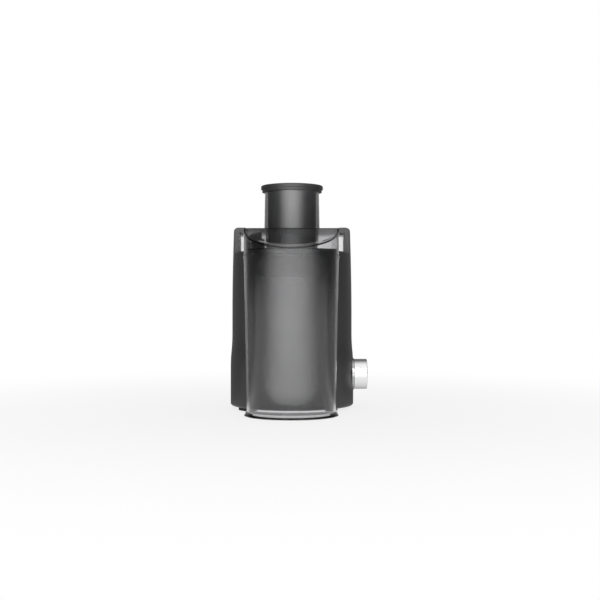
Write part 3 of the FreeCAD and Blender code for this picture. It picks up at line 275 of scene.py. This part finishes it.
def smoky(name, roughness, density):
    material, tree, shader = shader_of(name)
    fill(shader, Transmission_Weight=1.0, IOR=CLEAR_IOR)
    skin = fill(add(tree, "ShaderNodeGroup", node_tree=grain), Grain_Scale=300.0, Variation=0.03)
    tinted(tree, shader, fill(skin, Roughness=roughness), CLEAR_TINT)
    body = fill(add(tree, "ShaderNodeVolumeAbsorption"), Color=SMOKE, Density=density)
    tree.links.new(body.outputs[0], tree.nodes["Material Output"].inputs["Volume"])
    return material


finishes["lid_clear"] = smoky("lid_clear", 0.06, 190.0)
finishes["bin_clear"] = smoky("bin_clear", 0.08, 130.0)
print("clear plastics ready")

# %% [markdown]
# ## Metals
# The knob is turned from bright metal, the filter basket is thin sheet steel, and the motor inside is
# iron, copper and cast alloy. They share the turned-metal group with their own colours. Only the knob
# and its bezel have the rings centred on the knob. On the rest the rings run round the frame's own Y
# axis, and just read as fine lines.

# %% Make the metals
METAL_EDGE = 0.0004
WORN = 0.9  # the darkest rings against the brightest
knob_low, knob_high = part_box("control_knob")
KNOB = (knob_low + knob_high) / 2


def metal(name, colour, roughness, centre=(0.0, 0.0)):
    material, tree, shader = shader_of(name)
    fill(shader, Metallic=1.0)
    marks = fill(add(tree, "ShaderNodeGroup", node_tree=turned), Roughness=roughness)
    fill(marks, Centre_X=centre[0], Centre_Z=centre[1])
    ringed = add(tree, "ShaderNodeMix", data_type="RGBA")
    ringed.inputs["A"].default_value = (*colour, 1.0)
    ringed.inputs["B"].default_value = (*[c * WORN for c in colour], 1.0)
    tree.links.new(marks.outputs["Height"], ringed.inputs["Factor"])
    tree.links.new(ringed.outputs["Result"], shader.inputs["Base Color"])
    tree.links.new(marks.outputs["Roughness"], shader.inputs["Roughness"])
    bump_from(tree, shader, marks.outputs["Height"], 0.3, 0.00001, METAL_EDGE)
    return material


finishes["knob_metal"] = metal("knob_metal", (0.93, 0.93, 0.94), 0.3, (KNOB.x, KNOB.z))
finishes["bezel_metal"] = metal("bezel_metal", (0.5, 0.5, 0.51), 0.25, (KNOB.x, KNOB.z))
finishes["screw_steel"] = metal("screw_steel", (0.5, 0.5, 0.51), 0.3)
finishes["shaft_steel"] = metal("shaft_steel", (0.6, 0.6, 0.6), 0.25)
finishes["laminated_iron"] = metal("laminated_iron", (0.25, 0.25, 0.26), 0.4)
finishes["copper_wire"] = metal("copper_wire", (0.75, 0.33, 0.16), 0.3)
finishes["commutator_copper"] = metal("commutator_copper", (0.8, 0.42, 0.26), 0.25)
finishes["bracket_metal"] = metal("bracket_metal", (0.6, 0.6, 0.61), 0.4)
finishes["basket_steel"] = metal("basket_steel", (0.62, 0.62, 0.63), 0.25)
print("finishes", len(finishes))

# %% [markdown]
# ## Dress the solid parts
# Each part names the slot it belongs to, so one loop hands out the finishes.

# %% Give each part its finish
for part in frame["record"]["subparts"]:
    for slot in nodes[part["node"]].material_slots:
        slot.material = finishes[part["material_slot"]]

# %% [markdown]
# ## Holes of the filter basket
# The basket is a cone of thin sheet steel with over a thousand small round holes, which let the juice
# out and hold the pulp back. The holes follow a plain rule, rows up the cone and a fixed spacing round
# each row, so Geometry Nodes place them. Each one is a short dark plug a hair longer than the sheet is
# thick, because cutting that many holes would make a very heavy mesh. The plug's near-black colour is
# painted shade, for the dim inside of the basket seen through each hole.

# %% Name the inputs of the piercing tree
piercing = bpy.data.node_groups.new("pierced_cone", "GeometryNodeTree")
piercing.interface.new_socket("Geometry", in_out="OUTPUT", socket_type="NodeSocketGeometry")
kinds = {
    "Low Radius": "Float",
    "High Radius": "Float",
    "Foot": "Float",
    "Height": "Float",
    "Rows": "Int",
    "Holes Round": "Int",
    "Hole Radius": "Float",
    "Depth": "Float",
    "Centre": "Vector",
    "Finish": "Material",
}
keys = {}
for label, kind in kinds.items():
    socket = piercing.interface.new_socket(label, in_out="INPUT", socket_type="NodeSocket" + kind)
    keys[label] = socket.identifier
given = piercing.nodes.new("NodeGroupInput")
made = piercing.nodes.new("NodeGroupOutput")
print("piercing inputs", len(keys))

# %% Find a place for every hole
STAGGER = 0.5  # every other row starts this share of a step further round
total = math_node(piercing, "MULTIPLY", given.outputs["Rows"], given.outputs["Holes Round"])
dots = add(piercing, "GeometryNodePoints")
piercing.links.new(total, dots.inputs["Count"])
number = add(piercing, "GeometryNodeInputIndex").outputs["Index"]
row = math_node(piercing, "DIVIDE", number, given.outputs["Holes Round"])
row = math_node(piercing, "FLOOR", row)
place_round = math_node(piercing, "MODULO", number, given.outputs["Holes Round"])
odd_row = math_node(piercing, "MODULO", row, 2.0)
stagger = math_node(piercing, "MULTIPLY", odd_row, STAGGER)
turn = math_node(piercing, "ADD", place_round, stagger)
turn = math_node(piercing, "DIVIDE", turn, given.outputs["Holes Round"])
turn = math_node(piercing, "MULTIPLY", turn, math.tau)
last_row = math_node(piercing, "SUBTRACT", given.outputs["Rows"], 1.0)
climb = math_node(piercing, "DIVIDE", row, last_row)
spread = math_node(piercing, "SUBTRACT", given.outputs["High Radius"], given.outputs["Low Radius"])
away = math_node(piercing, "MULTIPLY", climb, spread)
away = math_node(piercing, "ADD", given.outputs["Low Radius"], away)
level_up = math_node(piercing, "MULTIPLY", climb, given.outputs["Height"])
level_up = math_node(piercing, "ADD", level_up, given.outputs["Foot"])
spot_x = math_node(piercing, "MULTIPLY", away, math_node(piercing, "COSINE", turn))
spot_y = math_node(piercing, "MULTIPLY", away, math_node(piercing, "SINE", turn))
spot_at = add(piercing, "ShaderNodeCombineXYZ")
for value, socket in zip((spot_x, spot_y, level_up), spot_at.inputs):
    piercing.links.new(value, socket)
moved = add(piercing, "ShaderNodeVectorMath", operation="ADD")
piercing.links.new(spot_at.outputs[0], moved.inputs[0])
piercing.links.new(given.outputs["Centre"], moved.inputs[1])
piercing.links.new(moved.outputs[0], dots.inputs["Position"])
print("places ready")

# %% Put a plug on every place
PLUG_SIDES = 8
tilt = math_node(piercing, "ARCTAN2", spread, given.outputs["Height"])
lean = math_node(piercing, "ADD", tilt, math.pi / 2)
facing = add(piercing, "ShaderNodeCombineXYZ")
piercing.links.new(lean, facing.inputs[1])
piercing.links.new(turn, facing.inputs[2])
plug = fill(add(piercing, "GeometryNodeMeshCylinder"), Vertices=PLUG_SIDES)
piercing.links.new(given.outputs["Hole Radius"], plug.inputs["Radius"])
piercing.links.new(given.outputs["Depth"], plug.inputs["Depth"])
copies = add(piercing, "GeometryNodeInstanceOnPoints")
piercing.links.new(dots.outputs[0], copies.inputs["Points"])
piercing.links.new(plug.outputs["Mesh"], copies.inputs["Instance"])
piercing.links.new(facing.outputs[0], copies.inputs["Rotation"])
real = add(piercing, "GeometryNodeRealizeInstances")
paint = add(piercing, "GeometryNodeSetMaterial")
piercing.links.new(copies.outputs[0], real.inputs[0])
piercing.links.new(real.outputs[0], paint.inputs["Geometry"])
piercing.links.new(given.outputs["Finish"], paint.inputs["Material"])
piercing.links.new(paint.outputs[0], made.inputs[0])
print("piercing tree ready")

# %% Pierce the filter basket
SHEET = 0.0008
PROUD = 0.0003  # how much longer a plug is than the sheet is thick
HUB_LEDGE = 0.001  # the cone's foot stands this far inside the hub's edge
MARGIN = 0.12  # share of the cone left plain at each end


def radius_of(node):
    low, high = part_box(node)
    return (high.x - low.x) / 2


def mesh_made_by(maker):
    """The finished mesh of an object that is only needed to make it, and is removed."""
    graph = bpy.context.evaluated_depsgraph_get()
    mesh = bpy.data.meshes.new_from_object(maker.evaluated_get(graph))
    bpy.data.objects.remove(maker)
    return mesh


basket_low, basket_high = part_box("filter_basket")
basket_top_radius = radius_of("filter_basket")
basket_foot_radius = radius_of("basket_hub") - HUB_LEDGE
tall = basket_high.z - basket_low.z
slope = (basket_top_radius - basket_foot_radius) / tall
blank = bpy.data.objects.new("basket_holes_blank", bpy.data.meshes.new("basket_holes_blank"))
bpy.context.scene.collection.objects.link(blank)
pierce = blank.modifiers.new("pierce", "NODES")
pierce.node_group = piercing
values = {
    "Low Radius": basket_foot_radius + slope * tall * MARGIN - SHEET / 2,
    "High Radius": basket_top_radius - slope * tall * MARGIN - SHEET / 2,
    "Foot": basket_low.z + tall * MARGIN,
    "Height": tall * (1 - 2 * MARGIN),
    "Rows": 14,
    "Holes Round": 96,
    "Hole Radius": 0.0006,
    "Depth": SHEET + PROUD,
    "Centre": (AXIS.x, AXIS.y, 0.0),
    "Finish": hole_shade,
}
for label, value in values.items():
    pierce[keys[label]] = value
holes_mesh = mesh_made_by(blank)
basket_holes = bpy.data.objects.new("basket_holes", holes_mesh)
bpy.context.scene.collection.objects.link(basket_holes)
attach(basket_holes, "spinner")
print("basket holes", len(holes_mesh.polygons), "faces")

# %% [markdown]
# ## Marks round the knob
# The speeds are printed on the housing: 0 at the top, then 1 and 2 clockwise, and a dot for the short
# pulse on the other side. Ink has almost no thickness. Each mark is made flat, then every point of it is
# sent straight back to the housing's wall, so the print follows the curve.

# %% Helpers for flat marks
INK = 0.00012  # half the thickness of a mark
DISC_SIDES = 20


def flat_text(words, size):
    curve = bpy.data.curves.new("dial_text", "FONT")
    curve.body, curve.size = words, size
    curve.align_x, curve.align_y = "CENTER", "CENTER"
    curve.extrude = INK
    holder = bpy.data.objects.new("dial_text", curve)
    bpy.context.scene.collection.objects.link(holder)
    return mesh_made_by(holder)


def write_mesh(shape, mesh):
    shape.to_mesh(mesh)
    shape.free()
    return mesh


def flat_disc(radius):
    shape = bmesh.new()
    sizes = {"segments": DISC_SIDES, "radius1": radius, "radius2": radius, "depth": 2 * INK}
    bmesh.ops.create_cone(shape, cap_ends=True, **sizes)
    return write_mesh(shape, bpy.data.meshes.new("dial_disc"))


def flat_bar(width, length, angle):
    shape = bmesh.new()
    bmesh.ops.create_cube(shape, size=1.0)
    bmesh.ops.scale(shape, vec=(width, length, 2 * INK), verts=shape.verts)
    bmesh.ops.rotate(shape, cent=(0, 0, 0), matrix=Matrix.Rotation(-angle, 3, "Z"), verts=shape.verts)
    return write_mesh(shape, bpy.data.meshes.new("dial_bar"))


print("flat marks ready")

# %% Print the dial
DIAL_R = 0.0325  # from the knob's axis to the middle of each number
NUMBER_SIZE = 0.0075
TICK_R = 0.0272
TICK_WIDTH, TICK_LENGTH = 0.0006, 0.002
DOT_RADIUS = 0.0011
DOT_INSET = 0.003  # how much nearer to the knob the dot is than the numbers
IN_FRONT_Y = -1.0  # well clear of the housing, on the knob's side
TOUCHING = 0.000005  # corners nearer than this are one corner
housing = nodes["motor_housing"]


def print_mark(name, mesh, angle, radius):
    """Place a flat mark at an angle round the knob, clockwise from the top, and wrap it on the housing."""
    across, up_by = KNOB.x + radius * math.sin(angle), KNOB.z + radius * math.cos(angle)
    for corner in mesh.vertices:
        x, z = across + corner.co.x, up_by + corner.co.y
        hit = housing.ray_cast(Vector((x, IN_FRONT_Y, z)), Vector((0, 1, 0)))[1]
        corner.co = Vector((x, hit.y - corner.co.z, z))
    shape = bmesh.new()
    shape.from_mesh(mesh)
    bmesh.ops.remove_doubles(shape, verts=shape.verts, dist=TOUCHING)
    bmesh.ops.recalc_face_normals(shape, faces=shape.faces)
    write_mesh(shape, mesh)
    mesh.materials.clear()
    mesh.materials.append(dial_print)
    mark = bpy.data.objects.new(name, mesh)
    bpy.context.scene.collection.objects.link(mark)
    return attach(mark, "base")


for words, degrees in (("0", 0), ("1", 45), ("2", 90)):
    angle = math.radians(degrees)
    print_mark("dial_number_" + words, flat_text(words, NUMBER_SIZE), angle, DIAL_R)
    print_mark("dial_tick_" + words, flat_bar(TICK_WIDTH, TICK_LENGTH, angle), angle, TICK_R)
print_mark("dial_dot", flat_disc(DOT_RADIUS), math.radians(-45), DIAL_R - DOT_INSET)
print("dial printed")

# %% [markdown]
# ## Floor
# The floor is plain and pale. Near the machine a fifth of it is matte, which is enough to keep the soft
# shadow, and the rest is an even white glow. Further out the glow takes over, so the floor runs into the
# background with no line between them. Mirrored in the plastic, the floor is bright on the bin's side
# and dark behind the machine. To light that bounces off matte things it is just a matte floor.

# %% Helpers for the floor, the room and the light
ANY = 0.5  # depths are whole numbers, so this splits none from one or more


def ramp(tree, value, low, high, start, end):
    """A smooth step from start to end while the value goes from low to high."""
    node = add(tree, "ShaderNodeMapRange", interpolation_type="SMOOTHSTEP")
    tree.links.new(value, node.inputs["Value"])
    fill(node, From_Min=low, From_Max=high, To_Min=start, To_Max=end)
    return node.outputs["Result"]


def never_bounced(tree, path):
    """A mask for rays that nothing has mirrored or scattered yet."""
    bounces = math_node(tree, "ADD", path.outputs["Glossy Depth"], path.outputs["Diffuse Depth"])
    return math_node(tree, "LESS_THAN", bounces, ANY)


def ray_kinds(tree):
    """Masks for rays that see the room straight or through clear plastic, and for mirrored rays."""
    path = add(tree, "ShaderNodeLightPath")
    clear = never_bounced(tree, path)
    through = math_node(tree, "MULTIPLY", path.outputs["Is Transmission Ray"], clear)
    straight = math_node(tree, "MAXIMUM", path.outputs["Is Camera Ray"], through)
    scattered = math_node(tree, "GREATER_THAN", path.outputs["Diffuse Depth"], ANY)
    reflected = math_node(tree, "GREATER_THAN", path.outputs["Glossy Depth"], ANY)
    mirror = math_node(tree, "MULTIPLY", reflected, math_node(tree, "SUBTRACT", 1.0, scattered))
    return straight, math_node(tree, "MAXIMUM", mirror, path.outputs["Is Glossy Ray"])


print("ramp and ray masks ready")

# %% Make the floor
MIRROR_SHARE = 0.85  # share of glow where the floor is seen mirrored
FLOOR_SIZE = 60
FLOOR_GAP = 0.0005  # keeps the floor just clear of the foot
floor_material = bpy.data.materials.new("pale_floor")
floor_material.use_nodes = True
floor_tree = floor_material.node_tree
floor_tree.nodes.clear()
matte = fill(add(floor_tree, "ShaderNodeBsdfDiffuse"), Color=(0.9, 0.9, 0.9, 1.0))
glow = fill(add(floor_tree, "ShaderNodeEmission"), Color=(1, 1, 1, 1), Strength=1.0)
blend = add(floor_tree, "ShaderNodeMixShader")
floor_out = add(floor_tree, "ShaderNodeOutputMaterial")
floor_place = add(floor_tree, "ShaderNodeTexCoord")
reach = add(floor_tree, "ShaderNodeVectorMath", operation="LENGTH")
floor_tree.links.new(floor_place.outputs["Object"], reach.inputs[0])
along = add(floor_tree, "ShaderNodeSeparateXYZ")
floor_tree.links.new(floor_place.outputs["Object"], along.inputs[0])
far_side = ramp(floor_tree, along.outputs["X"], low=-0.04, high=0.1, start=1.0, end=0.21)
glow_share = ramp(floor_tree, reach.outputs["Value"], low=0.2, high=0.9, start=0.8, end=1.0)
seen, mirrored_ray = ray_kinds(floor_tree)
seen_part = math_node(floor_tree, "MULTIPLY", seen, glow_share)
mirror_part = math_node(floor_tree, "MULTIPLY", mirrored_ray, MIRROR_SHARE)
floor_mask = math_node(floor_tree, "MAXIMUM", seen_part, mirror_part)
mirror_glow = math_node(floor_tree, "MULTIPLY", mirrored_ray, far_side)
floor_tree.links.new(math_node(floor_tree, "MAXIMUM", seen, mirror_glow), glow.inputs["Strength"])
for source, socket in zip((floor_mask, matte.outputs[0], glow.outputs[0]), blend.inputs):
    floor_tree.links.new(source, socket)
floor_tree.links.new(blend.outputs[0], floor_out.inputs["Surface"])
bpy.ops.mesh.primitive_plane_add(size=FLOOR_SIZE, location=(0, 0, -FLOOR_GAP))
floor = bpy.context.object
floor.name = "pale_floor"
floor.data.materials.append(floor_material)
print("floor ready")

# %% [markdown]
# ## Room
# The background is the same even white, straight on and through the clear plastic. What shiny plastic
# mirrors is another room. It is white straight behind the machine, grey beside that, and nearly dark to
# the sides and in front. It dims higher up, and its ceiling is lighter towards the bin's side. Matte
# things get a soft light that is stronger from above.

# %% Make the room
EVEN_LOW, EVEN_TOP = 0.3, 0.6  # light on matte things from all round, and what is added overhead
world = bpy.data.worlds.new("studio")
bpy.context.scene.world = world
world.use_nodes = True
sky = world.node_tree
room = fill(sky.nodes["Background"], Color=(1, 1, 1, 1))
backdrop = fill(add(sky, "ShaderNodeBackground"), Color=(1, 1, 1, 1), Strength=1.0)
mirrored = fill(add(sky, "ShaderNodeBackground"), Color=(1, 1, 1, 1))
towards = add(sky, "ShaderNodeSeparateXYZ")
sky.links.new(add(sky, "ShaderNodeTexCoord").outputs["Generated"], towards.inputs[0])
to_back, to_top = towards.outputs["X"], towards.outputs["Z"]
grey_wall = ramp(sky, to_back, low=0.3, high=0.93, start=0.06, end=0.31)
white_wall = ramp(sky, to_back, low=0.93, high=1.0, start=0.0, end=0.75)
steepness = math_node(sky, "ABSOLUTE", to_top)
level = ramp(sky, steepness, low=0.1, high=0.7, start=1.0, end=0.25)
upper = ramp(sky, to_top, low=0.0, high=0.08, start=1.0, end=1.1)
wall = math_node(sky, "MULTIPLY", math_node(sky, "ADD", grey_wall, white_wall), level)
wall = math_node(sky, "MULTIPLY", wall, upper)
up = ramp(sky, to_top, low=0.3, high=1.0, start=0.0, end=1.0)
bin_side = ramp(sky, to_back, low=-0.3, high=0.7, start=1.1, end=0.03)
ceiling = math_node(sky, "MULTIPLY", up, bin_side)
even = math_node(sky, "MULTIPLY", up, EVEN_TOP)
even = math_node(sky, "ADD", even, EVEN_LOW)
sky.links.new(math_node(sky, "ADD", wall, ceiling), mirrored.inputs["Strength"])
sky.links.new(even, room.inputs["Strength"])
straight, mirror = ray_kinds(sky)
choose_mirror = add(sky, "ShaderNodeMixShader")
choose_eye = add(sky, "ShaderNodeMixShader")
for source, socket in zip((mirror, room.outputs[0], mirrored.outputs[0]), choose_mirror.inputs):
    sky.links.new(source, socket)
for source, socket in zip((straight, choose_mirror.outputs[0], backdrop.outputs[0]), choose_eye.inputs):
    sky.links.new(source, socket)
sky.links.new(choose_eye.outputs[0], sky.nodes["World Output"].inputs["Surface"])
print("room ready")

# %% [markdown]
# ## Light
# One wide soft box stands beyond the pulp bin, just past where the bin slides to, and leans away from
# it. It draws the broad highlight down the bin and the chute. It is brightest in its middle and fades to
# its edges, as a real diffuser does, and its bright part widens and gains towards its head. Its foot is
# low and close, so it is mirrored down to the foot of the bin. It isn't seen straight or through the
# clear plastic, and it doesn't light the floor.

# %% Write the recipe for a soft box
HALF = 0.5  # how bright the glow is at one bell's width off its middle, against its middle


def soft_box(name, foot, head, width, power, foot_bell, head_bell, head_gain):
    """A rectangle of light from foot to head. Its bell-shaped glow widens and gains towards the head."""
    foot, head = Vector(foot), Vector(head)
    data = bpy.data.lights.new(name, "AREA")
    data.shape = "RECTANGLE"
    data.size, data.size_y = width, (head - foot).length
    data.energy = power
    data.use_nodes = True
    tree = data.node_tree
    where = add(tree, "ShaderNodeSeparateXYZ")
    tree.links.new(add(tree, "ShaderNodeNewGeometry").outputs["Parametric"], where.inputs[0])
    height = math_node(tree, "MULTIPLY", where.outputs["Y"], where.outputs["Y"])
    spread = math_node(tree, "MULTIPLY", height, head_bell - foot_bell)
    spread = math_node(tree, "ADD", spread, foot_bell)
    off_middle = math_node(tree, "SUBTRACT", where.outputs["X"], MIDDLE)
    off_middle = math_node(tree, "MULTIPLY", off_middle, width)
    share = math_node(tree, "DIVIDE", off_middle, spread)
    bell = math_node(tree, "POWER", HALF, math_node(tree, "MULTIPLY", share, share))
    gain = math_node(tree, "ADD", math_node(tree, "MULTIPLY", height, head_gain), 1.0)
    path = add(tree, "ShaderNodeLightPath")
    through = math_node(tree, "GREATER_THAN", path.outputs["Transmission Depth"], ANY)
    through = math_node(tree, "MULTIPLY", through, never_bounced(tree, path))
    shown = math_node(tree, "MULTIPLY", gain, math_node(tree, "SUBTRACT", 1.0, through))
    tree.links.new(math_node(tree, "MULTIPLY", bell, shown), tree.nodes["Emission"].inputs["Strength"])
    lamp = bpy.data.objects.new(name, data)
    lamp.location = (foot + head) / 2
    upwards = head - foot
    lamp.rotation_euler = Vector((0, 1, 0)).cross(upwards).to_track_quat("-Z", "Y").to_euler()
    lamp.visible_camera = False
    bpy.context.scene.collection.objects.link(lamp)
    return lamp


print("soft box recipe ready")

# %% Place the light
LAMP_CLEAR = 0.125  # beyond the bin, which slides out by 0.12
LAMP_LEAN = 0.3  # how much further off the head stands than the foot
FOOT_ASIDE, HEAD_ASIDE = 0.01, 0.02  # off the motor's axis, away from the knob
FOOT_HEIGHT, HEAD_HEIGHT = 0.002, 0.55
foot_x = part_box("pulp_bin")[0].x - LAMP_CLEAR
front_box = soft_box(
    "front_box",
    foot=(foot_x, AXIS.y + FOOT_ASIDE, FOOT_HEIGHT),
    head=(foot_x - LAMP_LEAN, AXIS.y + HEAD_ASIDE, HEAD_HEIGHT),
    width=3.0,
    power=11.6,
    foot_bell=0.19,
    head_bell=0.55,
    head_gain=2.0,
)
left_dark = bpy.data.collections.new("not_lit_by_front_box")
left_dark.objects.link(floor)
left_dark.collection_objects[0].light_linking.link_state = "EXCLUDE"
front_box.light_linking.receiver_collection = left_dark
print("lights ready")
